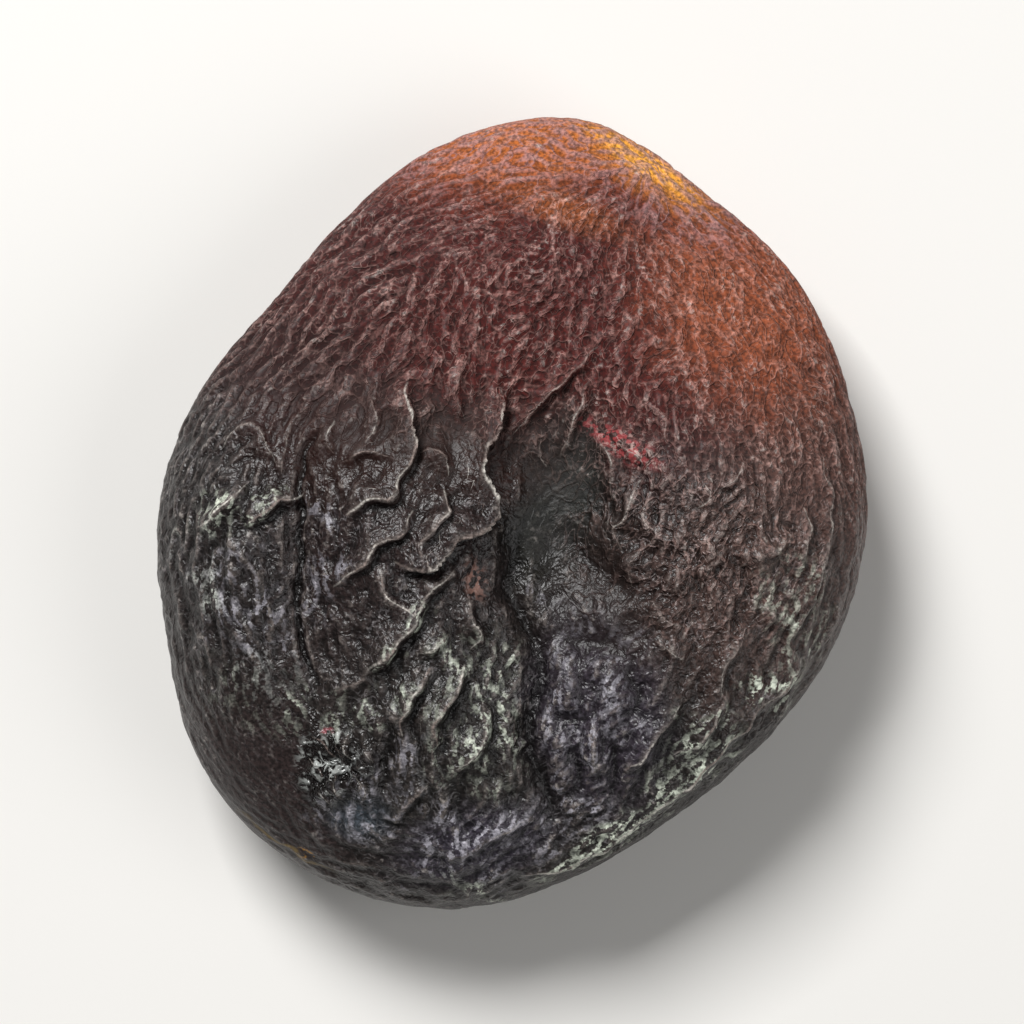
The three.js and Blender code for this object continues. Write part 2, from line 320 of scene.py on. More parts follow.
# Every kind of patch by the name that its mask is kept under, and the kinds that face upwards.
PATCHES = {
    "bloom": BLOOM_AND_GLINTS,
    "grey_bloom": GREY_BLOOM_AND_SHEEN,
    "smooth": SMOOTH,
    "curly": CURLY,
    "amber": AMBER,
    "black": BLACK,
}
ONLY_ON_TOP = ("bloom", "grey_bloom")
# The dull, reddish skin of the upper half begins along this direction, between these distances.
UPPER = {"heading": (0.18, 1.0, 0.0), "from": 0.5, "to": 6.5}

# ---- Node helpers -----------------------------------------------------------------------------


class Tree:
    """A node tree that is written from left to right."""

    def __init__(self, tree):
        self.tree = tree

    def add(self, kind, settings=None, **inputs):
        """Adds a node; settings are its properties, inputs are links or values by socket name."""
        node = self.tree.nodes.new(kind)
        for name, value in (settings or {}).items():
            setattr(node, name, value)
        for name, value in inputs.items():
            self.plug(node, name.replace("_", " "), value)
        return node

    def plug(self, node, name, value):
        """Links or sets the first input of that name that is in use."""
        socket = next(s for s in node.inputs if s.name.lower() == name.lower() and s.enabled)
        if isinstance(value, bpy.types.NodeSocket):
            self.tree.links.new(value, socket)
        elif isinstance(value, bpy.types.Node):
            self.tree.links.new(value.outputs[0], socket)
        else:
            socket.default_value = value

    def math(self, operation, *values):
        """A Math node."""
        node = self.tree.nodes.new("ShaderNodeMath")
        node.operation = operation
        self.fill(node, values)
        return node.outputs[0]

    def vector(self, operation, *values):
        """A Vector Math node."""
        node = self.tree.nodes.new("ShaderNodeVectorMath")
        node.operation = operation
        self.fill(node, values)
        return node.outputs["Value"] if operation in ("LENGTH", "DOT_PRODUCT") else node.outputs[0]

    def fill(self, node, values):
        """Links or sets a node's inputs in their order."""
        for socket, value in zip(node.inputs, values):
            if isinstance(value, bpy.types.NodeSocket):
                self.tree.links.new(value, socket)
            else:
                socket.default_value = value

    def scaled(self, value, factor):
        """A vector or a colour times a number."""
        node = self.add("ShaderNodeVectorMath", {"operation": "SCALE"}, Scale=factor)
        self.tree.links.new(value, node.inputs[0])
        return node.outputs[0]

    def soft_step(self, value, low, high):
        """0 at low and 1 at high, whichever is larger, with a soft step between."""
        node = self.add("ShaderNodeMapRange", {"interpolation_type": "SMOOTHSTEP"})
        self.fill(node, (value, low, high))
        return node.outputs[0]

    def mix(self, share, one, other):
        """A mix of two colours."""
        node = self.add("ShaderNodeMix", {"data_type": "RGBA"}, Factor=share, A=one, B=other)
        return node.outputs[2]

    def product(self, first, *others):
        """Several values multiplied."""
        for other in others:
            first = self.math("MULTIPLY", first, other)
        return first

    def total(self, first, *others):
        """Several values added."""
        for other in others:
            first = self.math("ADD", first, other)
        return first

    def mixed(self, share, low, high):
        """A value between two numbers."""
        return self.add("ShaderNodeMapRange", Value=share, To_Min=low, To_Max=high).outputs[0]

    def attribute(self, name):
        """A value that is stored on the piece's vertices."""
        return self.add("ShaderNodeAttribute", {"attribute_name": name}).outputs["Fac"]

    def noise(self, place, scale, detail, roughness=0.5):
        """Soft noise from 0 to 1."""
        return self.add(
            "ShaderNodeTexNoise", Vector=place, Scale=scale, Detail=detail, Roughness=roughness
        ).outputs[0]

    def noise_color(self, place, scale, detail):
        """Soft noise from 0 to 1 in each of three channels."""
        node = self.add("ShaderNodeTexNoise", Vector=place, Scale=scale, Detail=detail)
        return node.outputs["Color"]


def new_group(kind, name, inputs, outputs):
    """An empty node group with the named inputs and outputs, its tree and its inputs."""
    group = bpy.data.node_groups.new(name, kind)
    for way, sockets in (("INPUT", inputs), ("OUTPUT", outputs)):
        for socket, value in sockets.items():
            group.interface.new_socket(socket, in_out=way, socket_type="NodeSocket" + value)
    tree = Tree(group)
    return group, tree, tree.add("NodeGroupInput").outputs


# ---- Skin grid --------------------------------------------------------------------------------


def smooth_solid(node):
    """The frame's faceted solid as a smooth closed surface, to wrap the skin on."""
    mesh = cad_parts[node].data.copy()
    solid = bpy.data.objects.new("smooth_solid", mesh)
    bpy.context.scene.collection.objects.link(solid)
    shape = bmesh.new()
    shape.from_mesh(mesh)
    bmesh.ops.remove_doubles(shape, verts=shape.verts, dist=0.001 * MM)
    # Any two triangles that make a good square may join, so the limits are nearly half a turn.
    bmesh.ops.join_triangles(
        shape, faces=shape.faces, angle_face_threshold=3.1, angle_shape_threshold=3.1
    )
    shape.to_mesh(mesh)
    shape.free()
    subdivision = solid.modifiers.new("smooth", "SUBSURF")
    subdivision.levels = 3
    subdivision.render_levels = 3
    return solid


def skin_grid_tree():
    """Wraps a box's grid of squares round a solid, from a point inside it."""
    group, tree, inputs = new_group(
        "GeometryNodeTree",
        "skin_grid",
        {
            "Solid": "Object",
            "Squares Across": "Int",
            "Rim Rows": "Int",
            "Rows From": "Float",
            "Rows To": "Float",
            "Heart": "Vector",
            "Spread": "Vector",
            "Material": "Material",
        },
        {"Geometry": "Geometry"},
    )
    across = tree.math("ADD", inputs["Squares Across"], 1)
    rows = tree.math("ADD", inputs["Rim Rows"], 1)
    box = tree.add(
        "GeometryNodeMeshCube", Size=(2, 2, 2), Vertices_X=across, Vertices_Y=across, Vertices_Z=rows
    )

    place = tree.add("ShaderNodeSeparateXYZ", Vector=tree.add("GeometryNodeInputPosition")).outputs
    level = tree.add(
        "ShaderNodeMapRange",
        Value=place["Z"], From_Min=-1, From_Max=1, To_Min=inputs["Rows From"], To_Max=inputs["Rows To"],
    )
    on_box = tree.add("ShaderNodeCombineXYZ", X=place["X"], Y=place["Y"], Z=level)
    outward = tree.vector("MULTIPLY", tree.vector("NORMALIZE", on_box.outputs[0]), inputs["Spread"])
    hit = tree.add(
        "GeometryNodeRaycast",
        Target_Geometry=tree.add("GeometryNodeObjectInfo", Object=inputs["Solid"]).outputs["Geometry"],
        Source_Position=inputs["Heart"],
        Ray_Direction=outward,
        Ray_Length=1.0,
    )
    wrapped = tree.add(
        "GeometryNodeSetPosition", Geometry=box.outputs["Mesh"], Position=hit.outputs["Hit Position"]
    )
    real = tree.add("GeometryNodeRealizeInstances", Geometry=wrapped)
    finished = tree.add("GeometryNodeSetMaterial", Geometry=real, Material=inputs["Material"])
    tree.add("NodeGroupOutput", Geometry=finished)
    return group


def set_inputs(modifier, values):
    """Sets a Geometry Nodes modifier's inputs by their names in the tree."""
    for item in modifier.node_group.interface.items_tree:
        if item.item_type == "SOCKET" and item.in_out == "INPUT" and item.name in values:
            modifier[item.identifier] = values[item.name]


def made_plain(piece):
    """Swaps a piece's mesh for what its modifiers make of it, and drops them."""
    evaluated = piece.evaluated_get(bpy.context.evaluated_depsgraph_get())
    made = bpy.data.meshes.new_from_object(evaluated)
    piece.modifiers.clear()
    old, piece.data = piece.data, made
    bpy.data.meshes.remove(old)
    made.name = piece.name
    return piece


def wrapped_skin(solid, material):
    """The skin before it shrivels: a coarse, even grid of squares round the frame's solid."""
    skin = bpy.data.objects.new("apricot_skin", bpy.data.meshes.new("apricot_skin"))
    bpy.context.scene.collection.objects.link(skin)
    modifier = skin.modifiers.new("skin_grid", "NODES")
    modifier.node_group = skin_grid_tree()
    low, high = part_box("apricot")
    set_inputs(
        modifier,
        {
            "Solid": solid,
            "Squares Across": SQUARES_ACROSS,
            "Rim Rows": RIM_ROWS,
            "Rows From": ROWS_FROM,
            "Rows To": ROWS_TO,
            "Heart": (0, 0, HEART_HEIGHT * MM),
            "Spread": tuple(top - bottom for bottom, top in zip(low, high)),
            "Material": material,
        },
    )
    made_plain(skin)
    surface = Surface(skin.data)
    surface.even_out(EVENING_ROUNDS)
    surface.write()
    return skin


def made_finer(skin, solid=None):
    """Splits each of the skin's squares in four, and lays them on the solid if there is one."""
    subdivision = skin.modifiers.new("finer", "SUBSURF")
    subdivision.levels = 1
    subdivision.render_levels = 1
    if solid:
        wrap = skin.modifiers.new("on_solid", "SHRINKWRAP")
        wrap.target = solid
    return made_plain(skin)


# ---- Surface calculus -------------------------------------------------------------------------


class Surface:
    """The skin's vertices in millimetres, with the eight neighbours of each."""

    def __init__(self, mesh):
        self.mesh = mesh
        count = len(mesh.vertices)
        place = np.empty(count * 3, dtype=np.float32)
        mesh.vertices.foreach_get("co", place)
        self.place = place.reshape(-1, 3).astype(np.float64) / MM
        corners = np.empty(len(mesh.loops), dtype=np.int64)
        mesh.loops.foreach_get("vertex_index", corners)
        self.squares = corners.reshape(-1, 4)
        self.find_neighbours()
        self.measure()

    def find_neighbours(self):
        """Lists the corners of the squares round each vertex, and each one's share in a Laplacian."""
        a, b, c, d = self.squares.T
        sides = np.sort(np.stack([np.r_[a, b, c, d], np.r_[b, c, d, a]]), axis=0)
        sides = np.unique(sides, axis=1)
        across = np.stack([np.r_[a, b], np.r_[c, d]])
        pairs = np.concatenate([sides, across], axis=1)
        is_side = np.r_[np.ones(sides.shape[1]), np.zeros(across.shape[1])]
        start = np.r_[pairs[0], pairs[1]]
        end = np.r_[pairs[1], pairs[0]]
        is_side = np.r_[is_side, is_side]
        order = np.argsort(start, kind="stable")
        start, end, is_side = start[order], end[order], is_side[order]
        count = len(self.place)
        first = np.searchsorted(start, np.arange(count))
        rank = np.arange(len(start)) - first[start]
        self.near = np.tile(np.arange(count)[:, None], (1, 8))
        self.near[start, rank] = end
        self.side_share = np.zeros((count, 8))
        # A nine-point star: sides count twice as much as diagonals.
        self.side_share[start, rank] = np.where(is_side > 0, 2 / 3, 1 / 3)

    def measure(self):
        """Normals, and the weights that the surface's own lengths give."""
        a, b, c, d = (self.place[self.squares[:, k]] for k in range(4))
        face = np.cross(c - a, d - b)
        normal = np.zeros_like(self.place)
        for k in range(4):
            for axis in range(3):
                normal[:, axis] += np.bincount(
                    self.squares[:, k], weights=face[:, axis], minlength=len(self.place)
                )
        self.normal = normal / np.linalg.norm(normal, axis=1, keepdims=True)
        step = self.place[self.near] - self.place[:, None]
        length = np.linalg.norm(step, axis=2)
        self.step = step / np.maximum(length, 1e-9)[..., None]
        # Steps much shorter than most would make the sums unstable, so they count as longer.
        shortest = 0.6 * np.median(length[:, 0])
        self.inverse_square = np.where(length > 0, 1 / np.maximum(length, shortest) ** 2, 0)
        self.weight = (self.side_share * self.inverse_square).astype(np.float32)

    def bend(self, values):
        """The Laplacian: how far a value is below the mean round it, per square millimetre."""
        return np.einsum("ij,ij->i", self.weight, values[self.near] - values[:, None])

    def blurred(self, values, radius):
        """Values averaged over about that many millimetres round each vertex."""
        values = values.astype(np.float32)
        share = np.minimum(self.weight * radius**2 / 4, 1)
        rounds = max(1, int(np.ceil(share.sum(axis=1).max() / 0.9)))
        share = share[..., None] / rounds
        for _ in range(rounds):
            values = values + np.einsum("ijk,ijl->il", share, values[self.near] - values[:, None])
        return values

    def write(self):
        """Puts the places back into the mesh."""
        self.mesh.vertices.foreach_set("co", (self.place * MM).astype(np.float32).ravel())
        self.mesh.update()

    def keep(self, name, values):
        """Stores a value for every vertex, for the material to read."""
        data = self.mesh.attributes.new(name, "FLOAT", "POINT").data
        data.foreach_set("value", values.astype(np.float32))

    def keep_direction(self, name, values):
        """Stores a direction for every vertex."""
        data = self.mesh.attributes.new(name, "FLOAT_VECTOR", "POINT").data
        data.foreach_set("vector", values.astype(np.float32).ravel())

    def kept(self, name):
        """The value that was stored for every vertex."""
        values = np.empty(len(self.place), dtype=np.float32)
        self.mesh.attributes[name].data.foreach_get("value", values)
        return values

    def even_out(self, rounds):
        """Slides the vertices along the surface until the squares are even, and smaller on top."""
        is_side = self.side_share > 0.5
        for _ in range(rounds):
            self.measure()
            step = self.place[self.near] - self.place[:, None]
            length = np.where(is_side, np.linalg.norm(step, axis=2), 0)
            length *= 1 + TOP_CROWDING * blend(self.normal[self.near, 2], -0.5, 0.5)
            pull = np.einsum("ij,ijk->ik", length, step)
            pull /= np.sum(length, axis=1, keepdims=True)
            pull -= np.einsum("ij,ij->i", pull, self.normal)[:, None] * self.normal
            self.place += 0.5 * pull
        self.measure()


# ---- Relief -----------------------------------------------------------------------------------


def smooth_path(points, step=0.12):
    """A curve through points, as closely spaced places and the direction at each."""
    points = np.array(points, dtype=float)
    ends = np.vstack([2 * points[0] - points[1], points, 2 * points[-1] - points[-2]])
    places = []
    for before, here, after, last in zip(ends, ends[1:], ends[2:], ends[3:]):
        count = max(2, int(np.linalg.norm(after - here) / step))
        t = np.linspace(0, 1, count, endpoint=False)[:, None]
        square = 2 * before - 5 * here + 4 * after - last
        cube = 3 * here - before - 3 * after + last
        places.append(here + 0.5 * ((after - before) * t + square * t**2 + cube * t**3))
    places = np.vstack(places + [points[-1:]])
    heading = np.gradient(places, axis=0)
    return places, heading / np.linalg.norm(heading, axis=1, keepdims=True)


def beside_path(surface, path, reach, lift=0.0):
    """For the upward vertices within reach of a path, once they are lifted by that much: which they
    are, how far they are to its left, which way is left, and how full the fold is there, as it fades
    out to its ends."""
    places, heading = smooth_path(path)
    flat = surface.wandered + lift * surface.normal[:, :2]
    low, high = places.min(axis=0) - reach, places.max(axis=0) + reach
    inside = np.all((flat > low) & (flat < high), axis=1) & (surface.top > 0)
    which = np.flatnonzero(inside)
    offset = flat[which, None] - places[None]
    distance = np.linalg.norm(offset, axis=2)
    nearest = distance.argmin(axis=1)
    rows = np.arange(len(which))
    left = np.column_stack([-heading[nearest, 1], heading[nearest, 0]])
    aside = np.sum(offset[rows, nearest] * left, axis=1)
    aside = np.copysign(distance[rows, nearest], aside)
    steps = np.linalg.norm(np.diff(places, axis=0), axis=1)
    gone = np.concatenate([[0], np.cumsum(steps)])
    from_end = np.minimum(gone, gone[-1] - gone)[nearest]
    full = np.clip(from_end / min(END_FADE, SHORT_END_FADE * gone[-1]), 0, 1) ** 0.8
    return which, aside, left, full * surface.top[which]


class Lines:
    """Thin lines on the skin: how far each vertex is to the left of the nearest one, counted in line
    widths, and how full the line is there."""

    def __init__(self, count):
        self.offset = np.full(count, 9.0)
        self.full = np.zeros(count)

    def lay(self, which, aside, full, width):
        """Lays one line over the others, where it is the nearest."""
        offset = aside / width
        closer = (np.abs(offset) < np.abs(self.offset[which])) & (np.abs(aside) < LINE_REACH)
        beside = np.clip((LINE_REACH - np.abs(aside[closer])) / LINE_FADE, 0, 1)
        self.offset[which[closer]] = offset[closer]
        self.full[which[closer]] = full[closer] * beside


class Folds:
    """The listed crests and creases on a surface: how far each vertex rises along its normal
    and moves sideways, how much of a fold it is on, and the crests' and creases' own lines."""

    def __init__(self, surface):
        count = len(surface.place)
        self.rise = np.zeros(count)
        self.lean = np.zeros((count, 3))
        self.on_crest = np.zeros(count)
        self.on_crease = np.zeros(count)
        self.crest_lines = Lines(count)
        self.crease_lines = Lines(count)
        for height, gentle, steep, lean, path in CRESTS:
            self.add_crest(surface, height, gentle, steep, lean, path)
        for depth, width, path in CREASES:
            self.add_crease(surface, depth, width, path)

    def add_crest(self, surface, height, gentle, steep, lean, path):
        """Adds one crest, with a shallow trough at the foot of its steep slope."""
        which, aside, left, full = beside_path(surface, path, 1.2 * gentle + lean, height)
        aside = aside + lean
        height = height * (1 + CREST_HEIGHTS.amount * surface.uneven[which])
        gentle_side = np.clip(1 + aside / gentle, 0, 1) ** 1.5
        trough = TROUGH_DEPTH * np.exp(-(((aside - 1.1 * steep) / (0.6 * steep)) ** 2))
        steep_side = np.clip(1 - aside / steep, 0, 1) ** 1.3 - trough
        shape = np.where(aside < 0, gentle_side, steep_side)
        self.rise[which] += height * full * shape
        push = lean * full * np.clip(1 - np.abs(aside) / steep, 0, 1)
        self.lean[which, :2] += push[:, None] * left
        gathers = full * np.exp(-((aside / CREST_PULL) ** 2))
        self.on_crest[which] += gathers * np.minimum(1, height / GATHERING_HEIGHT)
        # The crest's own line, of wear and painted highlight, is brighter on a higher crest.
        worn_highlight = np.sqrt(full) * np.clip(height / HIGHLIGHT_HEIGHT, 0, 1) ** 0.8
        width = THINNEST_LINE + LINE_WIDENS * height
        self.crest_lines.lay(which, aside + 0.4 * width, worn_highlight, width)

    def add_crease(self, surface, depth, width, path):
        """Adds one crease, with a low lip on both sides."""
        which, aside, _, full = beside_path(surface, path, 4 * width, -depth)
        away = np.abs(aside) / width
        lips = LIP_HEIGHT * np.exp(-((away - 2.3) ** 2))
        self.rise[which] -= depth * full * (np.exp(-(away**1.3)) - lips)
        self.on_crease[which] += full * np.exp(-(away**2))
        # The crease's own line carries painted shadow.
        self.crease_lines.lay(which, aside, full * min(1, 0.1 / width**2), CREASE_SHADOW_WIDTH)


def mottle(place, size, seed):
    """A soft random unevenness over the fruit, in patches of about that size, mostly within +-1."""
    random = np.random.default_rng(seed)
    waves = 20
    heading = random.normal(size=(waves, 3))
    heading /= np.linalg.norm(heading, axis=1, keepdims=True)
    turns = heading / (2 * size * random.uniform(0.75, 1.6, waves)[:, None])
    phase = random.uniform(0, 2 * np.pi, waves)
    return np.cos(2 * np.pi * place @ turns.T + phase).sum(axis=1) / np.sqrt(waves)


def blend(values, low, high):
    """A soft step from 0 at low to 1 at high."""
    t = np.clip((values - low) / (high - low), 0, 1)
    return t * t * (3 - 2 * t)


def drift(place, unevenness, axes):
    """A soft random shift of every place along that many axes."""
    waves = [mottle(place, unevenness.size, unevenness.seed + axis) for axis in range(axes)]
    return unevenness.amount * np.column_stack(waves)


def area_changes(surface, areas):
    """The factor that the areas of the top make together at each vertex."""
    factor = np.ones(len(surface.place))
    for at, spread, amount in areas:
        away = (surface.place[:, :2] - at) / spread
        factor *= 1 + amount * np.exp(-np.sum(away**2, axis=1)) * surface.top
    return factor


def standing_height(surface, size):
    """How high one size of wrinkle stands at each vertex: less on the steep rim, and none on the
    foot."""
    uneven = 1 + size.unevenness * mottle(surface.place, HEIGHT_PATCHES, size.height_seed)
    calm = 1 - RIM_CALMS * np.exp(-((surface.normal[:, 2] / STEEP_RIM) ** 2))
    height = np.clip(size.height * area_changes(surface, size.areas) * uneven, 0, None)
    return height * surface.above_foot * calm


def ridged(height):
    """Grown wrinkles, from about -0.9 to 1.2, as 0 to 1 with each rounded crest drawn to a ridge."""
    share = np.clip((height + 0.9) / 2.1, 0, 1)
    return 0.5 * share + 0.5 * (1 - np.sqrt(1 - share))


def along_meridians(surface):
    """At each vertex, the direction along the skin from the thick end to the thin end."""
    flat = surface.place[:, :2]
    from_thick = flat - np.array(THICK_END)
    to_thin = np.array(THIN_END) - flat
    heading = from_thick / (np.sum(from_thick**2, axis=1) + END_SOFTNESS)[:, None]
    heading += to_thin / (np.sum(to_thin**2, axis=1) + END_SOFTNESS)[:, None]
    along = np.column_stack([heading, np.zeros(len(flat))])
    along -= np.einsum("ij,ij->i", along, surface.normal)[:, None] * surface.normal
    along /= np.maximum(np.linalg.norm(along, axis=1, keepdims=True), 1e-9)
    stray = WRINKLES_STRAY.amount * mottle(surface.place, WRINKLES_STRAY.size, WRINKLES_STRAY.seed)
    stray = stray[:, None]
    return np.cos(stray) * along + np.sin(stray) * np.cross(surface.normal, along)


def grown_wrinkles(surface, size, spacing, strictness, urge):
    """One size of wrinkle, which settles by itself, from about -1 in a valley to 1 on a crest. The
    wrinkles are spacing apart, run along the meridians as strictly as strictness says, and follow
    the places where urge is high.

    It is the Swift-Hohenberg equation, which skin that is too big for its flesh obeys.
    """
    along = surface.along
    aligned = np.abs(np.einsum("ijk,ik->ij", surface.step, along)) ** 4
    aligned = 2 * aligned / np.maximum(aligned.sum(axis=1, keepdims=True), 1e-9)
    reach = (spacing / (2 * np.pi)) ** 2
    bend = (surface.weight * reach[:, None]).astype(np.float32)
    slide = (aligned * surface.inverse_square * (reach * strictness)[:, None]).astype(np.float32)
    # The pace is as quick as stays stable.
    stiffness = (2 * bend.sum(axis=1) + 1) ** 2 + 2 * slide.sum(axis=1)
    pace = (1.7 / (stiffness + 3)).astype(np.float32)
    near = surface.near
    height = np.random.default_rng(size.seed).normal(0, 0.2, len(near)).astype(np.float32)
    growth = np.float32(0.8)
    for _ in range(size.rounds):
        step = height[near] - height[:, None]
        once = height + np.einsum("ij,ij->i", bend, step)
        twice = once + np.einsum("ij,ij->i", bend, once[near] - once[:, None])
        slip = np.einsum("ij,ij->i", slide, step)
        swelling = growth * height + size.bias * height**2 - height**3
        height = height + pace * (swelling - twice + slip + urge)
    return height


# ---- Shrivelling ------------------------------------------------------------------------------


def ready_surface(skin):
    """The skin's surface at its present size of squares, with what the relief needs to know."""
    surface = Surface(skin.data)
    surface.smooth_normal = surface.normal
    surface.top = blend(surface.normal[:, 2], *TOP_FACES)
    surface.above_foot = blend(surface.place[:, 2], *ABOVE_FOOT)
    surface.along = along_meridians(surface)
    surface.uneven = mottle(surface.place, CREST_HEIGHTS.size, CREST_HEIGHTS.seed)
    surface.wandered = surface.place[:, :2] + drift(surface.place, FOLDS_WANDER, 2)
    surface.folds = Folds(surface)
    surface.strictness = area_changes(surface, STRICT_AREAS)
    return surface


def grow(surface, size):
    """Grows one size of wrinkle, at a slightly uneven spacing."""
    varied = mottle(surface.place, SPACING_PATCHES * size.spacing, size.seed + 1)
    spacing = size.spacing * (1 + SPACING_VARIES * varied)
    folds = surface.folds
    urge = np.clip(folds.on_crest, 0, 1) - np.clip(folds.on_crease, 0, 1)
    strictness = size.strictness * surface.strictness
    return ridged(grown_wrinkles(surface, size, spacing, strictness, size.follow * urge))


def shrivel(surface, grown):
    """Raises every size of wrinkle and the listed folds, and keeps the foot flat."""
    rise = surface.folds.rise.copy()
    for size, wrinkles in grown:
        rise += standing_height(surface, size) * (wrinkles - LEVEL)
    surface.place += rise[:, None] * surface.normal + surface.folds.lean
    surface.place[:, 2] = np.maximum(surface.place[:, 2], 0)
    surface.measure()


def patch_masks(place, patches):
    """The amount of the strongest patch at each place; a patch is full inside, with a soft edge."""
    strongest = np.zeros(len(place))
    for middle, spread, turn, amount, softness in patches:
        x, y, z = (place - middle).T
        angle = np.radians(turn)
        across = (x * np.cos(angle) + y * np.sin(angle)) / spread[0]
        along = (y * np.cos(angle) - x * np.sin(angle)) / spread[1]
        away = np.sqrt(across**2 + along**2 + (z / spread[2]) ** 2)
        inside = amount * (1 - blend(away, 1 - softness, 1 + softness))
        strongest = np.maximum(strongest, inside)
    return strongest


def keep_masks(surface):
    """Stores where the skin is of each kind, with ragged edges."""
    place = surface.place
    for unevenness in RAGGED_EDGES:
        place = place + drift(surface.place, unevenness, 3)
    upward = blend(surface.smooth_normal[:, 2], *BLOOM_GLINT_FACES)
    for name, patches in PATCHES.items():
        mask = patch_masks(place, patches)
        surface.keep(name, mask * upward if name in ONLY_ON_TOP else mask)
    surface.keep("upper", blend(place @ UPPER["heading"], UPPER["from"], UPPER["to"]))


def keep_wear_and_shading(surface):
    """Stores how far each vertex stands out of the skin round it, closely and broadly, where the
    listed folds' own lines are, and which way the wrinkles run."""
    close = surface.place - surface.blurred(surface.place, CLOSE_ROUND)
    wide = surface.place - surface.blurred(surface.place, BROADLY_ROUND)
    surface.keep("crest", np.einsum("ij,ij->i", close, surface.normal))
    surface.keep("height", np.einsum("ij,ij->i", wide, surface.normal))
    seam = Lines(len(surface.place))
    which, aside, _, full = beside_path(surface, SEAM, LINE_REACH)
    seam.lay(which, aside, full, SEAM_WIDTH)
    folds = surface.folds
    for name, lines in (("crest", folds.crest_lines), ("crease", folds.crease_lines), ("seam", seam)):
        surface.keep(name + "_offset", lines.offset)
        surface.keep(name + "_full", lines.full)
    surface.keep_direction("along", surface.along)


def shrivelled_skin(material):
    """The finished skin."""
    solid = smooth_solid("apricot")
    skin = wrapped_skin(solid, material)
    surface = ready_surface(skin)
    surface.keep("broad", grow(surface, BROAD))
    made_finer(skin, solid)
    surface = ready_surface(skin)
    surface.keep("middle", grow(surface, MIDDLE))
    made_finer(skin)
    surface = ready_surface(skin)
    broad, middle = surface.kept("broad"), surface.kept("middle")
    shrivel(surface, [(BROAD, broad), (MIDDLE, middle), (FINE, grow(surface, FINE))])
    keep_wear_and_shading(surface)
    keep_masks(surface)
    surface.write()
    bpy.data.objects.remove(solid)
    skin.data.shade_smooth()
    return skin


# ---- Skin material ----------------------------------------------------------------------------


# Curls and streaks that are combed along the wrinkles: how many there are to a millimetre, how far
# they are drawn out, and how wide a curl is.
CURLS = {"Scale": 1.4, "Reach": 0.22, "Width": 0.15}
SMALL_CURLS = {"Scale": 2.7, "Reach": 0.12, "Width": 0.12}
STREAKS = {"Scale": 3.0, "Reach": 0.17, "Width": 0.12}
# The noise that draws a patch's edge about, as its scale and detail, and how far it does so, in
# millimetres: with a large patch, and with one that spreads less than SMALL_PATCH.
EDGE_NOISE = (0.45, 3)
LARGE_PATCH_DRIFT = 3.2
SMALL_PATCH_DRIFT = 0.8
SMALL_PATCH = 2.0
# Noise that breaks the colours up: how fine it is, how much detail it has, and the values at which its
# soft step begins and ends.
CLOUD = (0.55, 3, 0.42, 0.62)
STROKE_GAPS = (1.9, 1, 0.42, 0.58)
GLINT_NOISE = (3.4, 2, 0.54, 0.68)
KNOBS = (2.9, 1, 0.46, 0.58)
GLINT_CHIP_GAPS = (1.5, 1, 0.44, 0.56)
CREST_BREAKS = (1.2, 2, 0.30, 0.52)
WHITER_CRESTS = (0.5, 1, 0.42, 0.56)
GRAIN_SCALE = 5.5
# The crumpled film: its scale, how its facets are bent and how far, and its small facets' scale and
# height beside the large ones'.
FILM_SCALE = 2.1
BEND_SCALE = 0.8
BEND_REACH = 1.2
SMALL_FACET_SCALE = 2.3
SMALL_FACET_HEIGHT = 0.55
# How far the skin stands out of the skin round it where each kind of wear, painted shade and painted
# highlight begins and is full.
RAISED = (-0.02, 0.05)
SHADED_HOLLOW = (0.02, -0.22)
SHADED_GROOVE = (0.01, -0.04)
DUSTY_LIT_RIDGE = (0.03, 0.09)
GREY_LIT_RIDGE = (0.02, 0.10)
RUBBED_OFF = (-0.10, 0.10)
# The heights of the crumpled film between which a pale chip of painted glint begins and is full, and the
# same for the flakes of bloom and painted glint on the streaks, whose edges are this ragged.
GLINT_CHIP_EDGES = (0.78, 0.94)
GLINT_FLAKE_EDGES = (0.665, 0.735)
GLINT_FLAKE_RAGGEDNESS = 0.35
# Painted shade: what is left of the colour's light in a hollow and in a groove.
PAINTED_HOLLOW_SHADE = 0.25
PAINTED_GROOVE_SHADE = 0.4
# The values at which the grain is darkest and lightest, and what it multiplies a colour by there.
GRAIN_RANGE = (0.3, 0.7)
GRAIN_LIGHT = (0.5, 1.5)
CREST_GRAIN_RANGE = (0.4, 0.6)  # the same for the crests' lines of wear and painted highlight
CREST_GRAIN_LIGHT = (0.45, 1.0)
# Dust on the skin: its own share of the colour, and how much lighter it makes the skin under it.
MAUVE_OVER_SKIN = (0.65, 2.6)
GREY_OVER_SKIN = (0.6, 2.4)
MOST_COVERED = 0.9
# How strongly each layer of colour shows.
HOLLOW_SHADE_SHOWS = (0.85, 0.55)  # on the lower half, and on the upper half
GROOVE_SHADE_SHOWS = (0.6, 0.35)
PAINTED_SHADE_SHOWS = (1.0, 0.3)  # painted shade, where no flesh glows through, and weaker where it does, as painted light
CURLS_SHOW = (0.35, 0.85)  # in a valley, and on a crest
CLOUDED_CURLS = (0.5, 1.0)  # between the clouds, and in them
CLOUDED_STROKES = (0.2, 1.0)
CLOUDED_BLOOM_GLINTS = (0.45, 1.2)
LIT_RIDGE_DUST_SHOWS = 0.45
LAVENDER_SHOWS = 0.7
STROKES_SHOW = 0.55
LIT_GREY_RIDGES_SHOW = 0.45
GLINTS_SHOW = 0.5
CREASE_SHADOWS_SHOW = 0.8
CREST_HIGHLIGHTS_SHOW = 0.95
SEAM_SHOWS = 0.6
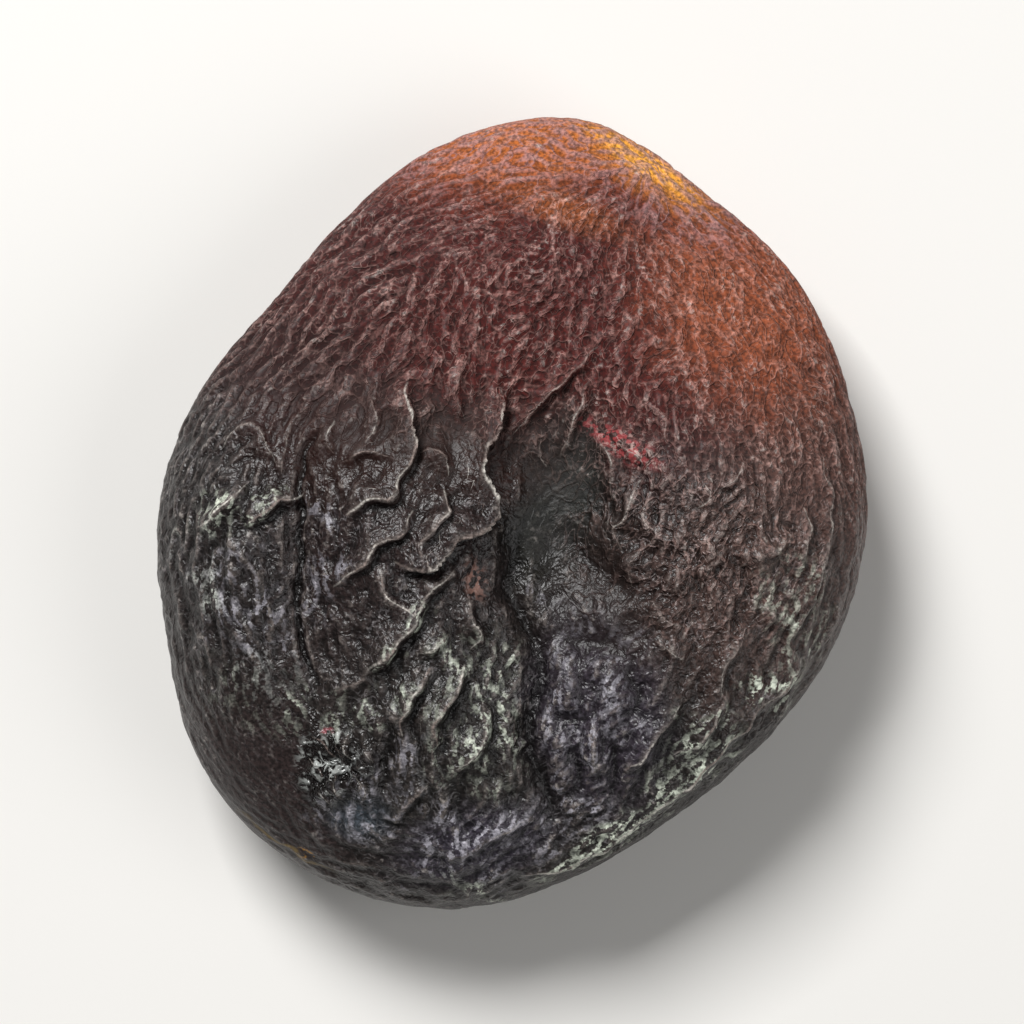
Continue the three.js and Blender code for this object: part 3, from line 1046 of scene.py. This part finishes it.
# Roughness: of the waxy lower half and of the dull upper half, and what each thing adds.
WAXY = 0.29
DULL = 0.50
GRAIN_ADDS = 0.12
VALLEYS_ADD = 0.35
SMOOTHNESS_ADDS = 0.16
BLACK_TAKES = 0.22
WAX_REFLECTION = 0.38
# The relief that is too fine for the mesh: its height in millimetres, and what rises in it, in parts
# of that height.
BUMP_HEIGHT = 0.1
CURLS_RISE = (0.1, 0.7)  # elsewhere, and where the skin is curly
SMALL_CURLS_RISE = (0.0, 0.3)
AMBER_CALMS_CURLS = (1.0, 0.4)  # what is left of them in dark skin, and in amber skin
FILM_RISES = (0.8, 0.15)  # on the lower half, and on the upper half
BLACK_FILM_RISES = 1.5
GRAIN_RISES = 0.3


def paint(code):
    """A colour from its hex code, as linear light."""
    parts = (int(code[k : k + 2], 16) / 255 for k in (0, 2, 4))
    return (*(c / 12.92 if c < 0.04045 else ((c + 0.055) / 1.055) ** 2.4 for c in parts), 1)


# The colours of the skin, its dust, its bloom and painted sheen, its painted glints, and its lines: the
# crests' worn and painted highlights and the creases' painted shadow.
BARE_SKIN = "2a201f"
MAUVE_DUST = "b09088"
LAVENDER_DUST = "906a6c"
GREY_STROKE = "8e8a8c"
LIT_RIDGE_DUST = "857b76"
PAINTED_GLINT = "aca49e"
GREENISH_BLOOM_GLINT = "c8cebe"
BLUISH_BLOOM_SHEEN = "a19ea6"
BLACK_SPOT = "14100f"
PAINTED_CREASE_SHADOW = "0c0808"
DULL_CREST_HIGHLIGHT = "a8968e"
WORN_CREST_HIGHLIGHT = "eae4da"
SEAM_YELLOW = "8c7440"
TABLE_TOP = "f0eeea"

# Tinted patches of the skin, laid one over the other: where the middle is, how far it spreads, how it
# is turned, its colour, how strong it is, and how soft its edge is.
TINTS = [
    # the upper half is redder, and goes to amber at the thin end
    ((2.0, 12.0, 10.0), (17.0, 9.0, 9.0), -10, "4c1814", 1.0, 0.4),
    ((-9.5, 10.0, 9.0), (5.0, 6.5, 8.0), -35, "3a1a18", 0.7, 0.7),
    ((-10.5, 5.5, 9.0), (5.5, 3.2, 8.0), -30, "261211", 0.8, 0.6),
    ((15.0, 1.5, 8.0), (5.0, 6.0, 8.0), 0, "583a32", 0.9, 0.6),
    ((12.0, 10.8, 8.0), (4.8, 6.0, 8.0), 20, "86452a", 1.0, 0.6),
    ((0.5, 20.8, 6.0), (8.5, 5.0, 7.0), -4, "8a4426", 1.0, 0.5),
    ((0.5, 21.0, 7.0), (6.5, 3.6, 5.0), -6, "b06228", 0.8, 0.5),
    ((2.2, 15.6, 9.0), (3.2, 0.9, 3.0), -22, "9a5428", 0.6, 0.7),
    ((6.9, 18.2, 7.0), (4.2, 1.6, 5.0), -35, "b8702c", 0.9, 0.5),
    ((6.8, 17.9, 7.0), (2.7, 0.6, 5.0), -35, "e8a038", 1.0, 0.6),
    # greyer skin on the lobe and at the thick end
    ((-15.0, -2.5, 8.0), (4.5, 7.5, 8.0), 6, "262120", 0.9, 0.4),
    ((0.0, -13.0, 9.0), (14.0, 8.5, 9.0), 0, "2b2725", 0.9, 0.5),
    ((-12.8, -14.6, 6.0), (5.2, 5.4, 9.0), 28, "2d2322", 1.0, 0.4),
    ((2.6, -0.3, 11.0), (3.0, 5.4, 4.0), 0, "181915", 0.95, 0.5),
    ((4.4, -10.0, 11.0), (3.4, 5.2, 4.0), 6, "342e36", 0.9, 0.4),
    ((-1.9, -16.7, 8.0), (4.0, 2.0, 5.0), 12, "3c3742", 0.9, 0.5),
    ((-7.8, -15.4, 9.0), (1.6, 1.2, 4.0), 0, "464e56", 0.8, 0.5),
    ((12.0, -4.0, 10.0), (6.0, 5.5, 8.0), 0, "45342f", 0.9, 0.5),
    # the last two rows are painted shade, darker where the top faces the key light
    ((-5.5, 3.2, 11.0), (6.5, 2.4, 6.0), 0, "261713", 0.8, 0.6),
    ((5.4, -3.6, 11.0), (2.4, 3.0, 5.0), 10, "221815", 0.6, 0.6),
]

# Painted shade: thin dark patches that lie over the wear, in the same terms.
PAINTED_SHADE_PATCHES = [
    ((-5.5, 3.0, 11.0), (7.0, 2.8, 6.0), 0, "2a1914", 0.45, 0.6),
    ((4.8, -4.6, 11.0), (3.6, 3.6, 5.0), 0, "241a18", 0.5, 0.6),
    ((-10.5, 5.8, 9.0), (5.0, 2.8, 8.0), -30, "321815", 0.35, 0.6),
]

# Small marks, some of them painted highlights: middle, spread, turn, softness, colour, amount, and which
# texture breaks them up.
MARKS = [
    ((5.7, 3.35, 11.0), (2.2, 0.6, 3.0), -30, 0.5, "a04244", 0.9, "knobs"),
    # painted highlights on the torn knobs
    ((6.1, 3.1, 11.0), (2.0, 0.7, 3.0), -30, 0.6, "c4a49c", 0.8, "glint_flecks"),
    ((-1.9, -3.4, 11.0), (0.55, 0.9, 3.0), 15, 0.7, "a0786c", 0.7, "knobs"),
    ((-9.3, -11.1, 11.0), (0.34, 0.24, 3.0), 20, 0.5, "9c4a54", 0.7, "knobs"),
    # painted highlights on the black spot, in chips
    ((-9.6, -12.9, 10.0), (1.1, 1.5, 3.0), 15, 0.6, "c0c4c0", 0.9, "glint_chips"),
    ((-8.9, -11.5, 10.0), (0.8, 0.4, 3.0), 25, 0.5, "ccd0ca", 0.9, "glint_chips"),
    ((-8.0, -12.7, 10.0), (1.1, 0.8, 3.0), -20, 0.6, "989a98", 0.8, "glint_chips"),
    ((-10.6, -17.5, 8.0), (0.4, 0.2, 2.0), -35, 0.5, "dc9c28", 1.0, "knobs"),
]


def patch_group():
    """A patch on the fruit with a soft edge: 1 inside it and 0 outside."""
    group, tree, inputs = new_group(
        "ShaderNodeTree",
        "patch",
        {"Place": "Vector", "Middle": "Vector", "Spread": "Vector", "Turn": "Float", "Softness": "Float"},
        {"Mask": "Float"},
    )
    offset = tree.vector("SUBTRACT", inputs["Place"], inputs["Middle"])
    turned = tree.add(
        "ShaderNodeVectorRotate", {"rotation_type": "Z_AXIS"}, Vector=offset, Angle=inputs["Turn"]
    )
    away = tree.vector("LENGTH", tree.vector("DIVIDE", turned.outputs[0], inputs["Spread"]))
    inner = tree.math("SUBTRACT", 1, inputs["Softness"])
    outer = tree.math("ADD", 1, inputs["Softness"])
    tree.add("NodeGroupOutput", Mask=tree.soft_step(away, outer, inner))
    return group


def combed_group():
    """Fine curls that are combed along a direction, 1 on a curl's line and 0 beside it, and the
    streaky noise that they are drawn on."""
    group, tree, inputs = new_group(
        "ShaderNodeTree",
        "combed_curls",
        {"Place": "Vector", "Along": "Vector", "Scale": "Float", "Reach": "Float", "Width": "Float"},
        {"Curls": "Float", "Streaks": "Float"},
    )
    slide = tree.scaled(inputs["Along"], inputs["Reach"])
    total = tree.noise(inputs["Place"], inputs["Scale"], 1)
    for step in ("ADD", "SUBTRACT"):
        place = tree.vector(step, inputs["Place"], slide)
        total = tree.math("ADD", total, tree.noise(place, inputs["Scale"], 1))
    # Each of the three noises is 0.5 on average, and a curl lies where their total is average.
    from_average = tree.math("ABSOLUTE", tree.math("SUBTRACT", total, 1.5))
    curls = tree.soft_step(from_average, inputs["Width"], 0)
    tree.add("NodeGroupOutput", Curls=curls, Streaks=tree.math("DIVIDE", total, 3))
    return group


def crumple_group():
    """The height of film that is crumpled into small facets."""
    group, tree, inputs = new_group(
        "ShaderNodeTree", "crumpled_film", {"Place": "Vector"}, {"Height": "Float"}
    )
    bend = tree.noise_color(inputs["Place"], BEND_SCALE, 0)
    bend = tree.vector("SUBTRACT", bend, (0.5, 0.5, 0.5))
    place = tree.vector("ADD", inputs["Place"], tree.scaled(bend, BEND_REACH))
    facets = tree.add("ShaderNodeTexVoronoi", Vector=place, Scale=1.0).outputs["Distance"]
    small = tree.add("ShaderNodeTexVoronoi", Vector=place, Scale=SMALL_FACET_SCALE).outputs["Distance"]
    small = tree.math("MULTIPLY", small, SMALL_FACET_HEIGHT)
    tree.add("NodeGroupOutput", Height=tree.math("ADD", facets, small))
    return group


class Skin:
    """Dried apricot skin: dark and waxy in its hollows, with painted shade there, and dusty and paler on
    its crests, partly as a painted highlight.
    """

    def __init__(self):
        self.material = bpy.data.materials.new("dried_skin")
        self.material.use_nodes = True
        self.tree = tree = Tree(self.material.node_tree)
        self.patches = patch_group()
        self.combing = combed_group()
        self.along = tree.add("ShaderNodeAttribute", {"attribute_name": "along"}).outputs["Vector"]
        self.place = tree.scaled(tree.add("ShaderNodeTexCoord").outputs["Object"], 1 / MM)
        ragged = tree.noise_color(self.place, *EDGE_NOISE)
        shift = tree.vector("SUBTRACT", ragged, (0.5, 0.5, 0.5))
        self.drifted = tree.vector("ADD", self.place, tree.scaled(shift, LARGE_PATCH_DRIFT))
        self.nudged = tree.vector("ADD", self.place, tree.scaled(shift, SMALL_PATCH_DRIFT))
        self.find_masks()
        self.find_textures()

    def find_masks(self):
        """Where the skin is of each kind."""
        tree = self.tree
        self.crest = tree.attribute("crest")
        self.height = tree.attribute("height")
        self.raised = tree.soft_step(self.crest, *RAISED)
        self.upper = tree.attribute("upper")
        self.lower = tree.math("SUBTRACT", 1, self.upper)
        self.rough = tree.math("SUBTRACT", 1, tree.attribute("smooth"))
        self.curly = tree.math("MAXIMUM", self.upper, tree.attribute("curly"))
        self.amber = tree.attribute("amber")
        self.black = tree.attribute("black")
        self.cloud = self.blotches(CLOUD)

    def find_textures(self):
        """Curls and crumples that are too fine for the mesh."""
        tree, place = self.tree, self.place
        self.curls = self.combed((0, 0, 0), CURLS, "Curls")
        self.small_curls = self.combed((5, 9, 2), SMALL_CURLS, "Curls")
        streaks = self.combed((2, 4, 7), STREAKS, "Streaks")
        ragged = tree.math("MULTIPLY", tree.noise(place, 6.0, 3, 0.7), GLINT_FLAKE_RAGGEDNESS)
        self.glint_flakes = tree.soft_step(tree.math("ADD", streaks, ragged), *GLINT_FLAKE_EDGES)
        self.film = tree.add(
            "ShaderNodeGroup", {"node_tree": crumple_group()}, Place=tree.scaled(place, FILM_SCALE)
        ).outputs[0]
        self.strokes = tree.math("MULTIPLY", self.small_curls, self.blotches(STROKE_GAPS))
        self.grain = tree.noise(place, GRAIN_SCALE, 2)
        self.glint_flecks = self.blotches(GLINT_NOISE)

    def blotches(self, values):
        """Blotches of noise with soft edges: 1 in a blotch and 0 beside it."""
        scale, detail, low, high = values
        return self.tree.soft_step(self.tree.noise(self.place, scale, detail), low, high)

    def combed(self, shift, values, output):
        """One kind of curls or streaks, shifted so that it is unlike the others."""
        return self.tree.add(
            "ShaderNodeGroup", {"node_tree": self.combing},
            Place=self.tree.vector("ADD", self.place, shift), Along=self.along, **values,
        ).outputs[output]

    def patch(self, middle, spread, turn, softness):
        """The mask of one patch, with a ragged edge."""
        place = self.drifted if min(spread) > SMALL_PATCH else self.nudged
        return self.tree.add(
            "ShaderNodeGroup", {"node_tree": self.patches},
            Place=place, Middle=middle, Spread=spread, Turn=-np.radians(turn), Softness=softness,
        ).outputs[0]

    def laid_over(self, color, patches):
        """A colour with tinted patches laid over it, one after the other."""
        for middle, spread, turn, tint, amount, softness in patches:
            share = self.tree.math("MULTIPLY", self.patch(middle, spread, turn, softness), amount)
            color = self.tree.mix(share, color, paint(tint))
        return color

    def shaded_in_hollows(self, color):
        """Painted shade: darker in the hollows and grooves, but less so where painted light stands for
        the flesh glowing through.
        """
        tree = self.tree
        shade_kept = tree.mixed(self.amber, *PAINTED_SHADE_SHOWS)
        hollow_shade = tree.soft_step(self.height, *SHADED_HOLLOW)
        hollow_shade = tree.product(hollow_shade, shade_kept, tree.mixed(self.upper, *HOLLOW_SHADE_SHOWS))
        color = tree.mix(hollow_shade, color, tree.scaled(color, PAINTED_HOLLOW_SHADE))
        groove_shade = tree.soft_step(self.crest, *SHADED_GROOVE)
        groove_shade = tree.product(groove_shade, shade_kept, tree.mixed(self.upper, *GROOVE_SHADE_SHOWS))
        return tree.mix(groove_shade, color, tree.scaled(color, PAINTED_GROOVE_SHADE))

    def dusty(self, color, dust, share, lighter):
        """The colour with dust on it."""
        return self.tree.mix(share, self.tree.scaled(color, lighter), paint(dust))

    def with_curls(self, color):
        """Pale mauve dust in curls and on the crests of the upper half and the curly cheek; on the crests
        it is partly a painted highlight.
        """
        tree = self.tree
        mauve = self.dusty(color, MAUVE_DUST, *MAUVE_OVER_SKIN)
        curls = tree.math("MAXIMUM", self.curls, self.small_curls)
        curls = tree.math("MULTIPLY", curls, tree.mixed(self.raised, *CURLS_SHOW))
        # Crests are paler, partly with dust and partly as painted highlight.
        dusty_lit_ridge = tree.math("MULTIPLY", tree.soft_step(self.crest, *DUSTY_LIT_RIDGE), LIT_RIDGE_DUST_SHOWS)
        worn = tree.math("MAXIMUM", curls, dusty_lit_ridge)
        worn = tree.product(worn, self.curly, tree.mixed(self.cloud, *CLOUDED_CURLS))
        color = tree.mix(tree.math("MINIMUM", worn, MOST_COVERED), color, mauve)
        lavender = tree.math("MAXIMUM", self.curls, self.raised)
        lavender = tree.product(lavender, self.amber, LAVENDER_SHOWS)
        return tree.mix(lavender, color, paint(LAVENDER_DUST))

    def with_strokes(self, color):
        """Short grey strokes where the film of the lower half is worn, and painted glints in pale flecks.
        """
        tree = self.tree
        grey = self.dusty(color, GREY_STROKE, *GREY_OVER_SKIN)
        worn = tree.mixed(self.cloud, *CLOUDED_STROKES)
        strokes = tree.product(self.strokes, worn, self.rough, self.lower, STROKES_SHOW)
        color = tree.mix(strokes, color, grey)
        # The lower half's ridges are paler, partly with grey dust and partly as painted highlight.
        dusty_lit_ridge = tree.soft_step(self.crest, *GREY_LIT_RIDGE)
        dusty_lit_ridge = tree.product(dusty_lit_ridge, self.lower, self.rough, LIT_GREY_RIDGES_SHOW)
        color = tree.mix(dusty_lit_ridge, color, paint(LIT_RIDGE_DUST))
        # Painted glints: pale flecks on raised skin.
        glint_flecks = tree.product(self.glint_flecks, self.raised, self.cloud, GLINTS_SHOW)
        return tree.mix(glint_flecks, color, paint(PAINTED_GLINT))

    def with_bloom_glints_and_shade(self, color):
        """Pale bloom with painted glints and sheen, in flecks that are rubbed off in the grooves; then a
        grain, and patches of painted shade.
        """
        tree = self.tree
        left_on = tree.soft_step(self.height, *RUBBED_OFF)
        cloudy = tree.mixed(self.cloud, *CLOUDED_BLOOM_GLINTS)
        for name, tint in (("grey_bloom", BLUISH_BLOOM_SHEEN), ("bloom", GREENISH_BLOOM_GLINT)):
            share = tree.product(tree.attribute(name), self.glint_flakes, left_on, cloudy)
            color = tree.mix(tree.math("MINIMUM", share, MOST_COVERED), color, paint(tint))
        grainy = tree.mixed(tree.soft_step(self.grain, *GRAIN_RANGE), *GRAIN_LIGHT)
        color = tree.scaled(color, grainy)
        # Patches of painted shade over everything so far.
        return self.laid_over(color, PAINTED_SHADE_PATCHES)

    def with_marks(self, color):
        """The black spot, and small marks that are broken up into knobs, or into flecks and chips of
        painted glints.
        """
        tree = self.tree
        color = tree.mix(self.black, color, paint(BLACK_SPOT))
        knobs = self.blotches(KNOBS)
        glint_chips = tree.math("MULTIPLY", tree.soft_step(self.film, *GLINT_CHIP_EDGES), self.blotches(GLINT_CHIP_GAPS))
        textures = {"knobs": knobs, "glint_flecks": self.glint_flecks, "glint_chips": glint_chips}
        for middle, spread, turn, softness, tint, amount, texture in MARKS:
            mark = tree.product(self.patch(middle, spread, turn, softness), textures[texture], amount)
            color = tree.mix(mark, color, paint(tint))
        return color

    def with_lines(self, color):
        """Bright lines along the crests, of wear and painted highlight, and dark lines of painted shadow
        down in the creases.
        """
        tree = self.tree
        # Painted shadow down the creases.
        crease = tree.product(self.line("crease"), CREASE_SHADOWS_SHOW)
        color = tree.mix(crease, color, paint(PAINTED_CREASE_SHADOW))
        grainy = tree.mixed(tree.soft_step(self.grain, *CREST_GRAIN_RANGE), *CREST_GRAIN_LIGHT)
        # Painted highlight along the crests, broken and grainy like wear.
        crest = tree.product(self.line("crest"), self.blotches(CREST_BREAKS), grainy, CREST_HIGHLIGHTS_SHOW)
        worn_highlight = tree.mix(self.blotches(WHITER_CRESTS), paint(DULL_CREST_HIGHLIGHT), paint(WORN_CREST_HIGHLIGHT))
        color = tree.mix(crest, color, worn_highlight)
        return tree.mix(tree.product(self.line("seam"), SEAM_SHOWS), color, paint(SEAM_YELLOW))

    def line(self, name):
        """1 on a kind of line, fading out over the line's width on both sides."""
        offset = self.tree.attribute(name + "_offset")
        near = self.tree.soft_step(self.tree.math("ABSOLUTE", offset), 1, 0)
        return self.tree.math("MULTIPLY", near, self.tree.attribute(name + "_full"))

    def roughness(self):
        """Waxy on the lower half, duller on the upper half, most of all between its wrinkles, and
        glossy on the black spot."""
        tree = self.tree
        sunken = tree.product(tree.math("SUBTRACT", 1, self.raised), self.upper)
        return tree.total(
            tree.mixed(self.upper, WAXY, DULL),
            tree.product(self.grain, GRAIN_ADDS),
            tree.product(sunken, VALLEYS_ADD),
            tree.mixed(self.rough, SMOOTHNESS_ADDS, 0.0),
            tree.product(self.black, -BLACK_TAKES),
        )

    def relief(self):
        """The height of everything that is too fine for the mesh, in parts of the bump's distance."""
        tree = self.tree
        curls_rise = tree.mixed(self.curly, *CURLS_RISE)
        return tree.total(
            tree.product(self.curls, curls_rise, tree.mixed(self.amber, *AMBER_CALMS_CURLS)),
            tree.product(self.small_curls, tree.mixed(self.curly, *SMALL_CURLS_RISE)),
            tree.product(self.film, self.rough, tree.mixed(self.upper, *FILM_RISES)),
            tree.product(self.film, self.black, BLACK_FILM_RISES),
            tree.product(self.grain, GRAIN_RISES),
        )

    def finished(self):
        """The material, with its layers laid one over the other."""
        color = self.laid_over(paint(BARE_SKIN), TINTS)
        color = self.with_curls(self.shaded_in_hollows(color))
        color = self.with_bloom_glints_and_shade(self.with_strokes(color))
        color = self.with_lines(self.with_marks(color))
        principled = self.material.node_tree.nodes["Principled BSDF"]
        bump = self.tree.add("ShaderNodeBump", Height=self.relief(), Distance=BUMP_HEIGHT * MM)
        bump.inputs["Strength"].default_value = 1.0
        principled.inputs["Specular IOR Level"].default_value = WAX_REFLECTION
        self.tree.plug(principled, "Base Color", color)
        self.tree.plug(principled, "Roughness", self.roughness())
        self.tree.plug(principled, "Normal", bump.outputs["Normal"])
        return self.material


# ---- Piece and studio -------------------------------------------------------------------------

# In metres and watts. Seen from above, the key light is at the upper left.
KEY_LIGHT = {"place": (-0.18, 0.32, 0.44), "size": 0.22, "watts": 3.6}
FILL_LIGHT = {"place": (0.38, -0.12, 0.4), "size": 0.4, "watts": 0.9}
ROOM_GLOW = 0.10
TABLE_HALF = 1.0  # of the table top's side
TABLE_ROUGHNESS = 0.8
CAMERA_HEIGHT = 0.35
LENS_MM = 235

skin = shrivelled_skin(Skin().finished())
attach(skin, "root")
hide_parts("apricot")


def studio_table():
    """A plain pale table top."""
    corners = [(x * TABLE_HALF, y * TABLE_HALF, 0) for x, y in ((-1, -1), (1, -1), (1, 1), (-1, 1))]
    mesh = bpy.data.meshes.new("table")
    mesh.from_pydata(corners, [], [(0, 1, 2, 3)])
    material = bpy.data.materials.new("table")
    material.use_nodes = True
    principled = material.node_tree.nodes["Principled BSDF"]
    principled.inputs["Base Color"].default_value = paint(TABLE_TOP)
    principled.inputs["Roughness"].default_value = TABLE_ROUGHNESS
    mesh.materials.append(material)
    table = bpy.data.objects.new("table", mesh)
    bpy.context.scene.collection.objects.link(table)


def soft_box(name, place, size, watts):
    """A square soft light that faces the fruit."""
    lamp_data = bpy.data.lights.new(name, "AREA")
    lamp_data.size = size
    lamp_data.energy = watts
    lamp = bpy.data.objects.new(name, lamp_data)
    bpy.context.scene.collection.objects.link(lamp)
    lamp.location = place
    lamp.rotation_euler = (-Vector(place)).to_track_quat("-Z", "Y").to_euler()


def studio_light():
    """A soft key light, a weak one from the other side, and a faint white glow from all round."""
    soft_box("key", **KEY_LIGHT)
    soft_box("fill", **FILL_LIGHT)
    world = bpy.data.worlds.new("studio")
    bpy.context.scene.world = world
    world.use_nodes = True
    background = world.node_tree.nodes["Background"]
    background.inputs["Color"].default_value = (1, 1, 1, 1)
    background.inputs["Strength"].default_value = ROOM_GLOW


def look_down():
    """The camera looks straight down on the fruit from above."""
    camera_data = bpy.data.cameras.new("camera")
    camera_data.lens = LENS_MM
    camera = bpy.data.objects.new("camera", camera_data)
    bpy.context.scene.collection.objects.link(camera)
    camera.location = (0, 0, CAMERA_HEIGHT)
    bpy.context.scene.camera = camera
    bpy.context.scene.view_settings.view_transform = "Standard"


studio_table()
studio_light()
look_down()
